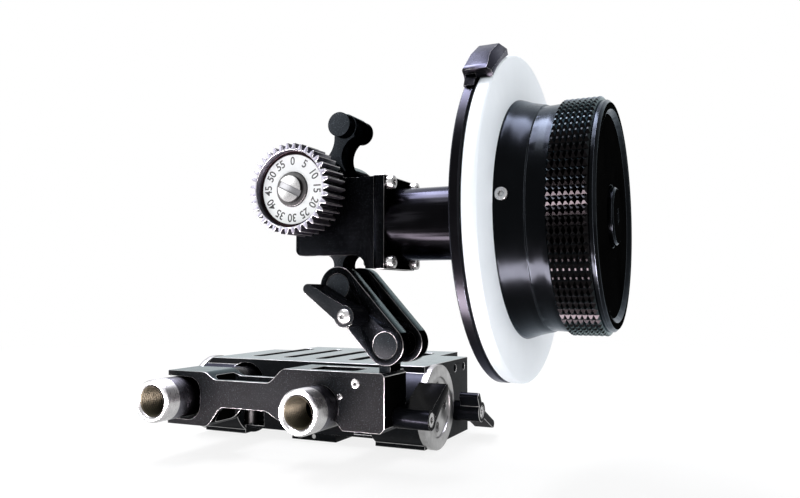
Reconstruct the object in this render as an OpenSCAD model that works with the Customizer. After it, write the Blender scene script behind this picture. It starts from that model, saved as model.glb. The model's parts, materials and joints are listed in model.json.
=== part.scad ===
// Follow focus unit on a rod bridge, with two rods and a small base plate.
// Millimetres. X runs along the handwheel axis towards the knob, Y runs back along the rods,
// Z is up. The origin is on the standing surface, midway between the rods, under the middle
// of the base plate.

/* [Rods] */
// Diameter of each rod
rod_d = 15; // [14:0.5:16]
// Distance between the two rod axes
rod_span = 60; // [58:0.5:63]
// Length of each rod
rod_len = 135; // [130:5:200]
// Height of the rod axes above the standing surface
rod_z = 21.5; // [20.5:0.25:24]
// Diameter of the threaded hole in each rod end
rod_hole_d = 10.8; // [8:0.2:12]
// Depth of the threaded hole in each rod end
rod_hole_depth = 20; // [12:1:30]
// How far the rods stand out in front of the bridge
rod_stickout = 13; // [8:0.5:20]

/* [Base plate] */
// Width of the base plate
base_w = 101; // [96:1:110]
// Depth of the base plate
base_d = 70; // [66:1:80]
// Height of the base plate's top above the standing surface
base_top = 32; // [31:0.5:36]
// Depth of the side walls that carry the rosettes
side_wall_d = 47; // [44:1:55]
// Diameter of each rosette
rosette_d = 31.8; // [28:0.2:32]
// Thickness of each rosette
rosette_t = 2.5; // [2:0.25:4]
// Thickness of the sole plate, which is the height of the base's underside
sole_t = 3.9; // [3:0.1:4.5]
// Width of the sole plate
sole_w = 20.5; // [16:0.5:26]
// Clearance of the side walls above the standing surface
wall_clear = 1.2; // [0.8:0.1:2]
// Number of slots in the top
slot_count = 5; // [3:1:5]
// Distance between the slots in the top
slot_pitch = 15.7; // [14:0.1:16.5]
// Chamfer along the top's left edge
edge_bevel = 2.8; // [1:0.1:3.5]

/* [Bridge] */
// Depth of the bridge along the rods
bridge_d = 17; // [16:0.5:20]
// Distance from the right rod's axis to the bridge's right face
bridge_reach = 24.2; // [22:0.2:28]
// Height of the right block's top above the rod axes
bridge_rise = 12.2; // [11.5:0.2:15]
// Height of the waist between the rods
waist_h = 9.6; // [8:0.2:11]
// Wall thickness beside the pocket through the waist
waist_wall = 2; // [1.5:0.1:3]

/* [Swing link] */
// Distance between the link's two journals
link_span = 25.4; // [24:0.2:32]
// Lean of the link from upright, towards the left
link_lean = 42.6; // [30:0.2:50]
// Diameter of the journals
journal_d = 8.2; // [7.5:0.1:9]
// Radius of the rounded ends of the link plates
link_r = 6.5; // [6.2:0.1:7.2]
// Thickness of each link plate
link_plate_t = 5.5; // [4:0.25:6]
// Gap between the two link plates
link_gap = 9.5; // [8.5:0.25:11]
// Height of the lower journal above the bridge
pivot_rise = 9.1; // [8.8:0.1:12]
// How far each neck sits to the left of its journal's axis
neck_shift = 3; // [1:0.25:3]

/* [Clamp levers] */
// Distance from a clamp lever's hub to its tip
lever_reach = 17.2; // [14:0.2:19]
// Thickness of a clamp lever's blade
lever_t = 3.2; // [2.5:0.1:4]
// Diameter of a clamp lever's hub
lever_hub_d = 6.8; // [6:0.2:7.2]
// Height of a clamp lever's blade along its hub
lever_blade_h = 10; // [7:0.5:11]

/* [Gearbox] */
// Width of the gearbox housing
box_w = 29.5; // [28:0.5:36]
// Depth of the gearbox housing
box_d = 24.5; // [24.5:0.5:28]
// Height of the flange cover
cover_h = 30.8; // [30:0.2:34]
// How far the cover's middle sits above the handwheel axis
cover_rise = 0.3; // [0:0.1:0.6]
// Thickness of the flange cover
cover_t = 3.7; // [3:0.1:5]
// Height of the handwheel axis above the link's upper journal
wheel_rise = 20.7; // [20:0.1:26]
// Outer diameter of the tube
tube_d = 24.2; // [20:0.2:24.2]
// Length of the tube
tube_len = 36.5; // [34:0.5:60]

/* [Gears] */
// Number of teeth on the drive gear
drive_teeth = 35; // [34:1:44]
// Module of the drive gear
drive_module = 0.8; // [0.8:0.01:0.84]
// Face width of the drive gear
drive_face = 11; // [8:0.5:14]
// Module of the gears inside the box
inner_module = 0.59; // [0.58:0.01:0.6]
// Teeth of the counter shaft's spur gear
counter_teeth = 14; // [13:1:14]
// Teeth of the spindle's pinion
pinion_teeth = 22; // [21:1:23]
// Teeth of each bevel gear
bevel_teeth = 16; // [15:1:16]

/* [Handwheel] */
// Diameter of the marking disc and the index ring
disc_d = 101; // [90:1:104]
// Thickness of the marking disc
disc_t = 4.3; // [3:0.1:6]
// Thickness of the index ring
index_t = 3; // [2.4:0.1:4]
// Diameter of the knob's neck at the marking disc
neck_d = 74; // [73:0.2:77]
// Diameter of the knurled grip
grip_d = 71.2; // [70:0.2:76]
// Width of the knurled grip
grip_w = 11; // [8:0.5:16]
// Distance from the marking disc to the knurled grip
neck_w = 13.7; // [11:0.1:18]
// Width of the smooth lip in front of the grip
lip_w = 2; // [1.5:0.1:4]
// Diameter of the handwheel shaft
shaft_d = 6; // [5:0.25:6.5]

/* [Fits] */
// Radial clearance of a shaft in its hole
fit = 0.05; // [0.02:0.01:0.1]
// Gap between faces that pass each other
gap = 0.3; // [0.2:0.05:0.5]
// Play taken off each gear tooth
backlash = 0.12; // [0.1:0.01:0.16]

/* [Hidden] */
$fn = 64;
rod_r = rod_d / 2;
rod_x = rod_span / 2;
// Distance by which a cutting tool passes through a face
cut = 1;
deg_per_rad = 180 / PI;

// Places along Y
base_front = -base_d / 2;
base_back = base_d / 2;
rosette_r = rosette_d / 2;
rosette_y = base_front + rosette_r / 2;
rosette_z = rosette_r + 0.3;
rosette_boss_r = rosette_r - 0.4;
swing_y = base_front - 33.5;
bridge_front = swing_y - bridge_d / 2;
bridge_back = swing_y + bridge_d / 2;
rod_front = bridge_front - rod_stickout;
box_front = bridge_front + 0.5;
box_back = box_front + box_d;
wheel_y = box_front + box_d / 2;

// Bridge and link
bridge_right = rod_x + bridge_reach;
bridge_top = rod_z + bridge_rise;
bridge_bottom = rod_z - 7;
post_w = 4;
post_d = 8;
post_x = bridge_right - post_w / 2;
lower_x = post_x + neck_shift;
lower_z = bridge_top + pivot_rise;
upper_x = lower_x - link_span * sin(link_lean);
upper_z = lower_z + link_span * cos(link_lean);
middle_x = (lower_x + upper_x) / 2;
middle_z = (lower_z + upper_z) / 2;
link_t = 2 * link_plate_t + link_gap;
link_front = swing_y - link_t / 2;
link_back = swing_y + link_t / 2;
journal_r = journal_d / 2;
journal_front = link_front + 0.15;
journal_back = link_back - 0.15;
link_bolt_d = 4;

// Gearbox
wheel_z = upper_z + wheel_rise;
gear_centre = inner_module * (counter_teeth + pinion_teeth) / 2;
spindle_x = upper_x - 11;
spindle_z = wheel_z + gear_centre;
box_left = spindle_x - 6.5;
box_right = box_left + box_w;
cover_right = box_right + cover_t;
box_below = 10.3;
box_bottom = wheel_z - box_below;
cover_z = wheel_z + cover_rise;
cover_step = 0.4;
box_top = cover_z + cover_h / 2 - cover_step;
boss_r = 12.8;
lug_x = upper_x - neck_shift;
top_journal_x = upper_x - 0.7;
top_journal_z = spindle_z + boss_r + 10;
top_journal_len = 17.5;
tube_r = tube_d / 2;
tube_right = cover_right + tube_len;
cap_t = 3;
cap_back = box_back + cap_t;

// Gear train
bevel_r = inner_module * bevel_teeth / 2;
bevel_face = 2.2;
bevel_hub = 2;
shaft_play = 0.7;
cavity_front = wheel_y - bevel_r - bevel_hub - shaft_play;
spindle_d = 5;
counter_d = 3;
drive_r = drive_module * drive_teeth / 2;
drive_front = box_front - 15;
drive_back = drive_front + drive_face;
spur_front = wheel_y + 5;
spur_back = spur_front + 3.4;
label_recess_r = drive_r - 1.5;
label_recess_depth = 2.9;
label_margin = 1.2;
label_t = 0.5;

// Bearings
wheel_bearing_r = 6.5;
wheel_bearing_t = 5;
spindle_bearing_r = 5;
spindle_bearing_t = 2.5;
counter_bearing_r = 3;
counter_bearing_t = 2.2;

// Handwheel
shaft_r = shaft_d / 2;
index_left = tube_right + gap;
index_right = index_left + index_t;
disc_left = index_right + gap;
disc_right = disc_left + disc_t;
grip_left = disc_right + neck_w;
grip_right = grip_left + grip_w;
knob_front = grip_right + lip_w;
disc_r = disc_d / 2;
neck_r = neck_d / 2;
grip_r = grip_d / 2;
knob_wall = 3.5;
front_web = 2.5;
spigot_r = shaft_r + 6;
centre_recess_r = 8.8;
knurl_columns = 7;
index_bore_r = tube_r - 3;
// Turn of the pointer and of its screw about the handwheel axis, forwards from upright
pointer_angle = 34.5;
pointer_screw_angle = 49;

// Straight bars along each axis
module bar_x(x0, x1, y, z, r) {
    translate([x0, y, z]) rotate([0, 90, 0]) cylinder(h = x1 - x0, r = r);
}
module bar_y(y0, y1, x, z, r) {
    translate([x, y0, z]) rotate([-90, 0, 0]) cylinder(h = y1 - y0, r = r);
}
module bar_z(z0, z1, x, y, r) {
    translate([x, y, z0]) cylinder(h = z1 - z0, r = r);
}

// Outlines drawn in X and Z, or in Y and Z, given a thickness along the third axis
module slab_y(y0, y1) {
    translate([0, y1, 0]) rotate([90, 0, 0]) linear_extrude(y1 - y0) children();
}
module slab_x(x0, x1) {
    translate([x0, 0, 0]) rotate([90, 0, 90]) linear_extrude(x1 - x0) children();
}
// Outline of radius and X turned about the handwheel axis
module turned_x() {
    translate([0, wheel_y, wheel_z]) rotate([0, 90, 0]) rotate_extrude() children();
}
module block(x0, x1, y0, y1, z0, z1) {
    translate([x0, y0, z0]) cube([x1 - x0, y1 - y0, z1 - z0]);
}
module rounded_rect(x0, x1, y0, y1, r) {
    hull() for (x = [x0 + r, x1 - r], y = [y0 + r, y1 - r]) translate([x, y]) circle(r);
}
// Stadium between two points, as two discs and the band that joins them
module stadium(a, b, r) {
    d = b - a;
    n = [-d[1], d[0]] / norm(d) * r;
    translate(a) circle(r);
    translate(b) circle(r);
    polygon([a + n, a - n, b - n, b + n]);
}
// Screw along X or Y with a round head and a six-sided socket
module screw_x(x_head, side, y, z, head_r, head_h, shank_r, shank_l, socket_r) {
    difference() {
        union() {
            bar_x(min(x_head, x_head + side * head_h), max(x_head, x_head + side * head_h),
                y, z, head_r);
            bar_x(min(x_head, x_head - side * shank_l), max(x_head, x_head - side * shank_l),
                y, z, shank_r);
        }
        translate([x_head + side * head_h * 0.4, y, z]) rotate([0, side * 90, 0])
            cylinder(h = head_h, r = socket_r, $fn = 6);
    }
}
module screw_y(y_head, side, x, z, head_r, head_h, shank_r, shank_l, socket_r) {
    difference() {
        union() {
            bar_y(min(y_head, y_head + side * head_h), max(y_head, y_head + side * head_h),
                x, z, head_r);
            bar_y(min(y_head, y_head - side * shank_l), max(y_head, y_head - side * shank_l),
                x, z, shank_r);
        }
        translate([x, y_head + side * head_h * 0.4, z]) rotate([-side * 90, 0, 0])
            cylinder(h = head_h, r = socket_r, $fn = 6);
    }
}

// Involute gear outline
pressure_angle = 20;
function involute(cosine) = tan(acos(cosine)) * deg_per_rad - acos(cosine);
function half_tooth(r, pitch_r, teeth, play) =
    90 / teeth - play / 2 / pitch_r * deg_per_rad + involute(cos(pressure_angle))
    - involute(min(1, pitch_r * cos(pressure_angle) / r));
function tooth_radii(root_r, tip_r) = [for (i = [0:4]) root_r + (tip_r - root_r) * i / 4];
module gear_outline(teeth, mod, play, addendum = 0.9, dedendum = 1.2) {
    pitch_r = teeth * mod / 2;
    radii = tooth_radii(pitch_r - dedendum * mod, pitch_r + addendum * mod);
    polygon([for (k = [0:teeth - 1], side = [-1, 1], i = [0:4])
        let (r = side < 0 ? radii[i] : radii[4 - i],
            a = 360 * k / teeth + side * half_tooth(r, pitch_r, teeth, play))
        r * [cos(a), sin(a)]]);
}

// Base
module rod(x) {
    bevel = 1;
    mouth = 0.7;
    tip_r = rod_r - 0.6;
    hole_r = rod_hole_d / 2;
    difference() {
        translate([x, rod_front, rod_z]) rotate([-90, 0, 0]) rotate_extrude()
            polygon([[0, 0], [tip_r, 0], [rod_r, bevel], [rod_r, rod_len - bevel],
                [tip_r, rod_len], [0, rod_len]]);
        bar_y(rod_front - cut, rod_front + rod_hole_depth, x, rod_z, hole_r);
        translate([x, rod_front - mouth, rod_z]) rotate([-90, 0, 0])
            cylinder(h = 2 * mouth, r1 = hole_r + 2 * mouth, r2 = hole_r);
    }
}
module rod_left() {
    color("silver") rod(-rod_x);
}
module rod_right() {
    color("silver") rod(rod_x);
}

relief_depth = 8;
relief_w = 18;
relief_floor = sole_t + 1.1;
jack_y = base_front + relief_depth / 2;
jack_r = 2.3;
lever_axis_y = base_front + 31;
lever_axis_z = rod_z - 9.8;
side_hole_y = [base_front + 32, base_front + 42];
side_hole_drop = 3.5;
side_hole_r = 1.5;
side_hole_depth = 5;
base_stud_r = 2.5;
stud_end = rod_x + rod_r + 1;
rail_inset = 13;
slot_w = 6;
slot_depth = 1.8;
slot_margin = 12;
slot_len = base_d - 2 * slot_margin;
slot_shift = -2.4;
rosette_bore_r = 3;
rosette_bore_depth = 6;
// Bar along X on one side, from x0 to x1 outwards
module side_bar(s, x0, x1, y, z, r) {
    bar_x(min(s * x0, s * x1), max(s * x0, s * x1), y, z, r);
}
module side_block(s, x0, x1, y0, y1, z0, z1) {
    block(min(s * x0, s * x1), max(s * x0, s * x1), y0, y1, z0, z1);
}
module base_plate() {
    side = base_w / 2;
    wall_back = base_front + side_wall_d;
    color("#26282c") difference() {
        union() {
            block(rail_inset - side, side - rail_inset, base_front, base_back, sole_t, base_top);
            block(-side, side, base_front, wall_back, sole_t, base_top);
            for (s = [-1, 1]) {
                side_block(s, rod_x, side, base_front, wall_back, wall_clear, sole_t + cut);
                side_bar(s, rod_x, side, rosette_y, rosette_z, rosette_boss_r);
            }
        }
        // Rod channels, their front reliefs and the side holes
        for (s = [-1, 1]) {
            bar_y(base_front - 2 * rosette_r, base_back + cut, s * rod_x, rod_z, rod_r + fit);
            bar_y(base_front - cut, base_front + relief_depth, s * rod_x, rod_z,
                relief_w / 2);
            block(s * rod_x - relief_w / 2, s * rod_x + relief_w / 2, base_front - cut,
                base_front + relief_depth, relief_floor, rod_z);
            side_bar(s, stud_end, side + cut, lever_axis_y, lever_axis_z, base_stud_r + fit);
            side_bar(s, side - rosette_bore_depth, side + cut, rosette_y, rosette_z,
                rosette_bore_r);
            for (y = side_hole_y) {
                side_bar(s, side - side_hole_depth, side + cut, y, base_top - side_hole_drop,
                    side_hole_r);
            }
        }
        // Slots in the top and the chamfer along its left edge
        for (i = [0:slot_count - 1]) {
            x = (i - (slot_count - 1) / 2) * slot_pitch + slot_shift;
            translate([0, 0, base_top - slot_depth]) linear_extrude(slot_depth + cut)
                stadium([x, -slot_len / 2 + slot_w / 2], [x, slot_len / 2 - slot_w / 2],
                    slot_w / 2);
        }
        slab_y(base_front - cut, base_back + cut) polygon([
            [-side - cut, base_top - edge_bevel - cut], [-side - cut, base_top + cut],
            [-side + edge_bevel + cut, base_top + cut]]);
    }
}
sole_front = base_front + 4.6;
sole_screw_y = 18;
sole_head_r = 2;
sole_head_top = 1.6;
sole_shank_r = 0.95;
sole_pin_z = 1.6;
sole_pin_r = 0.9;
sole_pin_len = 4;
module sole_plate() {
    color("#1c1d20") difference() {
        block(-sole_w / 2, sole_w / 2, sole_front, base_back, 0, sole_t);
        for (y = [-sole_screw_y, sole_screw_y]) {
            bar_z(-cut, sole_t + cut, 0, y, sole_shank_r + fit);
            bar_z(-cut, sole_head_top, 0, y, sole_head_r + fit);
        }
        bar_y(sole_front - cut, sole_front + sole_pin_len, 0, sole_pin_z, sole_pin_r);
    }
}
module sole_screws() {
    socket_r = 1;
    color("silver") {
        for (y = [-sole_screw_y, sole_screw_y]) difference() {
            union() {
                bar_z(0.3, sole_head_top, 0, y, sole_head_r);
                bar_z(0.3, sole_t, 0, y, sole_shank_r);
            }
            translate([0, y, 0.2]) cylinder(h = 0.9, r = socket_r, $fn = 6);
        }
        bar_y(sole_front + 0.1, sole_front + sole_pin_len, 0, sole_pin_z, sole_pin_r);
    }
}
rosette_screw_at = 7.5;
rosette_sink = 1.6;
module rosettes() {
    side = base_w / 2;
    teeth = 36;
    tooth_h = 0.7;
    tooth_l = 4.5;
    ring_r = rosette_r - tooth_l;
    color("silver") for (s = [-1, 1]) translate([s * side, rosette_y, rosette_z])
        rotate([0, s * 90, 0]) difference() {
            cylinder(h = rosette_t, r = rosette_r);
            translate([0, 0, -cut]) cylinder(h = rosette_t + 2 * cut, r = rosette_bore_r);
            translate([0, 0, rosette_t - tooth_h]) cylinder(h = tooth_h + cut, r = ring_r);
            for (k = [0:teeth - 1]) rotate([0, 0, 360 * (k + 0.5) / teeth])
                translate([ring_r - cut, 0, rosette_t]) rotate([45, 0, 0])
                    cube([rosette_r - ring_r + 2 * cut, tooth_h, tooth_h], center = false);
            for (k = [0:3]) rotate([0, 0, 90 * k]) {
                translate([rosette_screw_at, 0, -cut])
                    cylinder(h = rosette_t + 2 * cut, r = 1.25);
                translate([rosette_screw_at, 0, rosette_t - rosette_sink])
                    cylinder(h = rosette_sink + cut, r = 1.95);
            }
        }
}
module rosette_screws() {
    side = base_w / 2;
    color("gainsboro") for (s = [-1, 1], k = [0:3]) {
        y = rosette_y + rosette_screw_at * sin(90 * k);
        z = rosette_z + rosette_screw_at * cos(90 * k);
        screw_x(s * (side + rosette_t - rosette_sink), s, y, z, 1.85, 0.8, 1.2,
            rosette_t - rosette_sink, 0.8);
    }
}
module jack_screws() {
    color("#3a3338") for (s = [-1, 1]) {
        bar_z(relief_floor, rod_z - rod_r, s * rod_x, jack_y, jack_r);
    }
}
base_lever_len = 11.5;
base_hub_r = 4;
base_cap_r = 2.4;
base_blade_w = 8;
base_sink = 2.4;
base_screw_l = 3;
base_screw_hole = 6;
base_wings = [[-3.4, 6.3], [14.4, -7]];
module base_lever(s) {
    side = base_w / 2 + gap;
    end = side + base_lever_len;
    hub = [lever_axis_y, lever_axis_z];
    color("#2a2a2e") difference() {
        union() {
            side_bar(s, side, end, lever_axis_y, lever_axis_z, base_hub_r);
            side_bar(s, stud_end + 0.2, end, lever_axis_y, lever_axis_z, base_stud_r);
            slab_x(min(s * (end - base_blade_w), s * end), max(s * (end - base_blade_w), s * end))
                for (wing = base_wings) stadium(hub, hub + wing, lever_t / 2);
        }
        side_bar(s, end - base_sink, end + cut, lever_axis_y, lever_axis_z, base_cap_r);
        side_bar(s, end - base_screw_hole, end + cut, lever_axis_y, lever_axis_z, 1.25);
    }
}
module base_lever_right() {
    base_lever(1);
}
module base_lever_left() {
    base_lever(-1);
}
module base_lever_cap_screw(s) {
    end = base_w / 2 + gap + base_lever_len;
    color("silver") screw_x(s * (end - base_sink), s, lever_axis_y, lever_axis_z,
        base_cap_r - 0.1, base_sink - 0.2, 1.2, base_screw_l, 1.2);
}
module base_lever_screws_right() {
    base_lever_cap_screw(1);
}
module base_lever_screws_left() {
    base_lever_cap_screw(-1);
}

// Bridge
hook_r = rod_r + 0.15;
hook_left = -rod_x - 4;
hook_inner = -rod_x + rod_r + 3.3;
hook_top = rod_z + 9.6;
hook_bottom = rod_z - 9.6;
waist_left = -rod_x + 18;
waist_right = rod_x - 21;
waist_top = rod_z + 7;
waist_bottom = waist_top - waist_h;
saddle_left = rod_x - 14.5;
clamp_y = swing_y;
clamp_z = rod_z - 2.8;
clamp_stud_r = 2.2;
top_pocket_depth = 3.8;
// Points of a smooth step from a to b, level at both ends
function step_curve(a, b, n = 10) = [for (i = [0:n]) let (t = i / n)
    [a[0] + (b[0] - a[0]) * t, a[1] + (b[1] - a[1]) * (1 - cos(180 * t)) / 2]];
module bridge_outline() {
    saddle_bottom = rod_z - 5.6;
    difference() {
        polygon(concat([[hook_left, hook_bottom], [hook_left, hook_top]],
            step_curve([waist_left - 6, hook_top], [waist_left, waist_top]),
            step_curve([waist_right, waist_top], [waist_right + 8, bridge_top]),
            [[bridge_right - 1, bridge_top], [bridge_right, bridge_top - 1],
                [bridge_right, bridge_bottom + 1.5], [bridge_right - 1.5, bridge_bottom],
                [rod_x + 9, bridge_bottom], [rod_x + 7, bridge_bottom + 2.2], [rod_x, rod_z],
                [rod_x - 7, rod_z - 6]],
            step_curve([saddle_left, saddle_bottom], [waist_right - 1, waist_bottom]),
            step_curve([waist_left + 3, waist_bottom], [waist_left - 5, hook_bottom])));
        // Saddle over the right rod
        translate([rod_x, rod_z]) circle(rod_r + fit);
        // Hook around the left rod, open to the left
        translate([hook_left - cut, rod_z - hook_r])
            square([hook_inner - hook_left + cut - 5.5, 2 * hook_r]);
        translate([hook_inner - 5.5, rod_z - hook_r + 5.5]) circle(5.5);
        translate([hook_inner - 5.5, rod_z + hook_r - 5.5]) circle(5.5);
        translate([hook_inner - 6, rod_z - hook_r + 5.5]) square([6, 2 * hook_r - 11]);
    }
}
module bridge_body() {
    pocket_front = bridge_front + waist_wall;
    pocket_back = bridge_back - waist_wall;
    color("#2b2c33") difference() {
        slab_y(bridge_front, bridge_back) bridge_outline();
        // Pocket right through the waist, and the shallow ones in the top
        translate([0, 0, hook_bottom - cut]) linear_extrude(hook_top - hook_bottom + 2 * cut)
            rounded_rect(waist_left - 3, waist_right + 2, pocket_front, pocket_back, 2.5);
        translate([0, 0, bridge_top - top_pocket_depth]) linear_extrude(top_pocket_depth + cut)
            rounded_rect(rod_x - 6, rod_x + 12, pocket_front + 1, pocket_back - 1, 2);
        // Clamp shoe and stud
        bar_x(rod_x, bridge_right - 8, clamp_y, clamp_z, 3.4 + fit);
        bar_x(rod_x, bridge_right + cut, clamp_y, clamp_z, clamp_stud_r + fit);
        // Pins on the front, and the screws of the post
        bar_y(bridge_front - cut, bridge_front + 5, rod_x + 13.8, rod_z + 8.6, 1.45);
        bar_y(bridge_front - cut, bridge_front + 5, rod_x + 8, rod_z + 4, 0.9);
        for (y = [-2.2, 2.2]) bar_z(bridge_top - 5, bridge_top + cut, post_x, swing_y + y, 0.8);
    }
}
module bridge_shoe() {
    color("#8a7a4c") difference() {
        bar_x(rod_x, bridge_right - 8.2, clamp_y, clamp_z, 3.4);
        bar_y(bridge_front, bridge_back, rod_x, rod_z, rod_r + fit);
    }
}
module bridge_pins() {
    color("silver") {
        difference() {
            bar_y(bridge_front - 0.4, bridge_front + 5, rod_x + 13.8, rod_z + 8.6, 1.45);
            translate([rod_x + 13.8, bridge_front + 0.6, rod_z + 8.6]) rotate([90, 0, 0])
                cylinder(h = 2, r = 0.7, $fn = 6);
        }
        bar_y(bridge_front - 0.2, bridge_front + 5, rod_x + 8, rod_z + 4, 0.9);
    }
}
module swivel_post() {
    color("#1d1e21") difference() {
        union() {
            block(post_x - post_w / 2, post_x + post_w / 2, swing_y - post_d / 2,
                swing_y + post_d / 2, bridge_top, lower_z);
            bar_y(journal_front, journal_back, lower_x, lower_z, journal_r);
        }
        for (y = [-2.2, 2.2]) bar_z(bridge_top - cut, bridge_top + 4, post_x, swing_y + y, 0.8);
    }
}
module post_screws() {
    color("gray") for (y = [-2.2, 2.2]) {
        bar_z(bridge_top - 4.8, bridge_top + 3.8, post_x, swing_y + y, 0.8);
    }
}
// Clamp lever drawn in its own plane: hub at the origin, blade towards the given angle
module lever_outline(angle) {
    circle(lever_hub_d / 2);
    rotate(angle) {
        translate([lever_reach - lever_t / 2, 0]) circle(lever_t / 2);
        polygon([[0, lever_hub_d / 2 - 0.6], [0, -lever_hub_d / 2 + 0.6],
            [lever_reach - lever_t / 2, -lever_t / 2], [lever_reach - lever_t / 2, lever_t / 2]]);
    }
}
bridge_lever_angle = 33;
bridge_lever_left = bridge_right + gap;
bridge_lever_right = bridge_lever_left + 12.6;
module bridge_lever() {
    color("#1f2024") difference() {
        union() {
            bar_x(bridge_lever_left, bridge_lever_right, clamp_y, clamp_z, lever_hub_d / 2);
            bar_x(bridge_right - 7.8, bridge_lever_right, clamp_y, clamp_z, clamp_stud_r);
            translate([0, clamp_y, clamp_z])
                slab_x(bridge_lever_right - lever_blade_h, bridge_lever_right)
                    lever_outline(bridge_lever_angle);
        }
        bar_x(bridge_lever_right - 2, bridge_lever_right + cut, clamp_y, clamp_z, 2.4);
        bar_x(bridge_lever_right - 7, bridge_lever_right + cut, clamp_y, clamp_z, 1.2);
    }
}
module bridge_lever_screw() {
    color("silver") screw_x(bridge_lever_right - 2, 1, clamp_y, clamp_z, 2.3, 1.9, 1.15, 4, 1.2);
}

// Swing link
module link_outline() {
    stadium([lower_x, lower_z], [upper_x, upper_z], link_r);
}
module link_holes(y0, y1) {
    bar_y(y0 - cut, y1 + cut, lower_x, lower_z, journal_r + fit);
    bar_y(y0 - cut, y1 + cut, upper_x, upper_z, journal_r + fit);
    bar_y(y0 - cut, y1 + cut, middle_x, middle_z, link_bolt_d / 2 + fit);
}
module link_front_plate() {
    color("#1b1c1f") difference() {
        slab_y(link_front, link_front + link_plate_t) link_outline();
        link_holes(link_front, link_front + link_plate_t);
    }
}
module link_back_plate() {
    color("#1b1c1f") difference() {
        slab_y(link_back - link_plate_t, link_back) link_outline();
        link_holes(link_back - link_plate_t, link_back);
    }
}
module link_sleeve() {
    color("#26272b") difference() {
        bar_y(link_front + link_plate_t, link_back - link_plate_t, middle_x, middle_z, 4.2);
        bar_y(link_front, link_back, middle_x, middle_z, link_bolt_d / 2 + fit);
    }
}
link_lever_angle = 147;
link_lever_back = link_front - gap;
link_lever_front = link_lever_back - 11;
module link_lever() {
    color("#1f2024") difference() {
        union() {
            bar_y(link_lever_front, link_back + 2.4, middle_x, middle_z, link_bolt_d / 2);
            bar_y(link_back + gap, link_back + 2.4, middle_x, middle_z, 3.4);
            translate([middle_x, 0, middle_z])
                slab_y(link_lever_front, link_lever_front + lever_blade_h)
                    lever_outline(link_lever_angle);
            bar_y(link_lever_front, link_lever_back, middle_x, middle_z, lever_hub_d / 2);
        }
        bar_y(link_lever_front - cut, link_lever_front + 6, middle_x, middle_z, 1.2);
    }
}
module link_lever_screw() {
    head_r = 2.4;
    color("silver") difference() {
        union() {
            translate([middle_x, link_lever_front, middle_z]) rotate([90, 0, 0])
                rotate_extrude() intersection() {
                    translate([0, -head_r * 0.75]) circle(head_r * 1.25);
                    square([head_r, 1.3]);
                }
            bar_y(link_lever_front, link_lever_front + 5, middle_x, middle_z, 1.15);
        }
        bar_y(link_lever_front - 2, link_lever_front - 0.3, middle_x, middle_z, 0.9);
    }
}

// Gearbox
front_wall = 3;
underside_step = 1.2;
foot_w = 7.5;
foot_curve_w = 4.5;
module box_outline() {
    foot_x = box_right - foot_w;
    foot_z = cover_z - cover_h / 2 + 0.3;
    step = box_bottom - foot_z;
    r = 2.2;
    difference() {
        union() {
            polygon([[box_left + r, box_bottom], [foot_x + foot_curve_w, box_bottom],
                [foot_x + foot_curve_w, foot_z], [box_right, foot_z], [box_right, box_top],
                [box_left, box_top], [box_left, box_bottom + r]]);
            translate([box_left + r, box_bottom + r]) circle(r);
            translate([foot_x, foot_z]) square([foot_curve_w, step + 1]);
        }
        translate([foot_x, foot_z]) scale([foot_curve_w / step, 1]) circle(step);
    }
}
module gearbox_housing() {
    color("#17181b") difference() {
        union() {
            slab_y(box_front, box_back) box_outline();
            bar_y(box_front, box_back, spindle_x, spindle_z, boss_r);
        }
        // The underside steps up behind the front wall
        block(box_left - cut, box_right - foot_w, box_front + front_wall, box_back + cut,
            box_bottom - cut, box_bottom + underside_step);
        // Chambers of the counter shaft and the spindle, open at the back
        bar_y(cavity_front, box_back + cut, spindle_x, wheel_z, 5.5);
        bar_y(spur_front - 1, box_back + cut, spindle_x, spindle_z,
            inner_module * (pinion_teeth / 2 + 1) + 0.5);
        bar_y(box_front - cut, box_back + cut, spindle_x, spindle_z, spindle_d / 2 + 0.5);
        bar_y(box_front + 0.3, box_front + 0.3 + spindle_bearing_t, spindle_x, spindle_z,
            spindle_bearing_r);
        bar_y(box_front - cut, box_front + 0.4, spindle_x, spindle_z, spindle_bearing_r);
        bar_y(cavity_front - counter_bearing_t, cavity_front + cut, spindle_x, wheel_z,
            counter_bearing_r);
        // Chamber of the handwheel shaft, open at the flange
        bar_x(spindle_x, box_right + cut, wheel_y, wheel_z, 5.7);
        bar_x(box_right - wheel_bearing_t - 1, box_right + cut, wheel_y, wheel_z,
            wheel_bearing_r);
        // Threads of the cover and cap screws
        for (y = cover_screw_y, z = cover_screw_z) {
            bar_x(box_right - 6, box_right + cut, y, z, 1.25);
        }
        for (p = cap_screw_at) bar_y(box_back - 5, box_back + cut, p[0], p[1], 0.8);
    }
}
cover_screw_y = [box_front + 2.8, box_back - 2.8];
cover_screw_z = [cover_z - cover_h / 2 + 2.4, cover_z + cover_h / 2 - 2.4];
cap_screw_at = [[spindle_x + 9.8, spindle_z], [spindle_x - 9.8, spindle_z],
    [spindle_x + 7.6, wheel_z - 4.5]];
module flange_cover() {
    color("#141518") difference() {
        block(box_right, cover_right, box_front, box_back, cover_z - cover_h / 2,
            cover_z + cover_h / 2);
        bar_x(box_right - cut, cover_right + cut, wheel_y, wheel_z, spigot_outer_r);
        for (y = cover_screw_y, z = cover_screw_z) {
            bar_x(box_right - cut, cover_right + cut, y, z, 1.3);
        }
    }
}
module cover_screws() {
    color("silver") for (y = cover_screw_y, z = cover_screw_z) {
        screw_x(cover_right, 1, y, z, 2.1, 2.5, 1.2, cover_t + 4.5, 1.2);
    }
}
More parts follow.
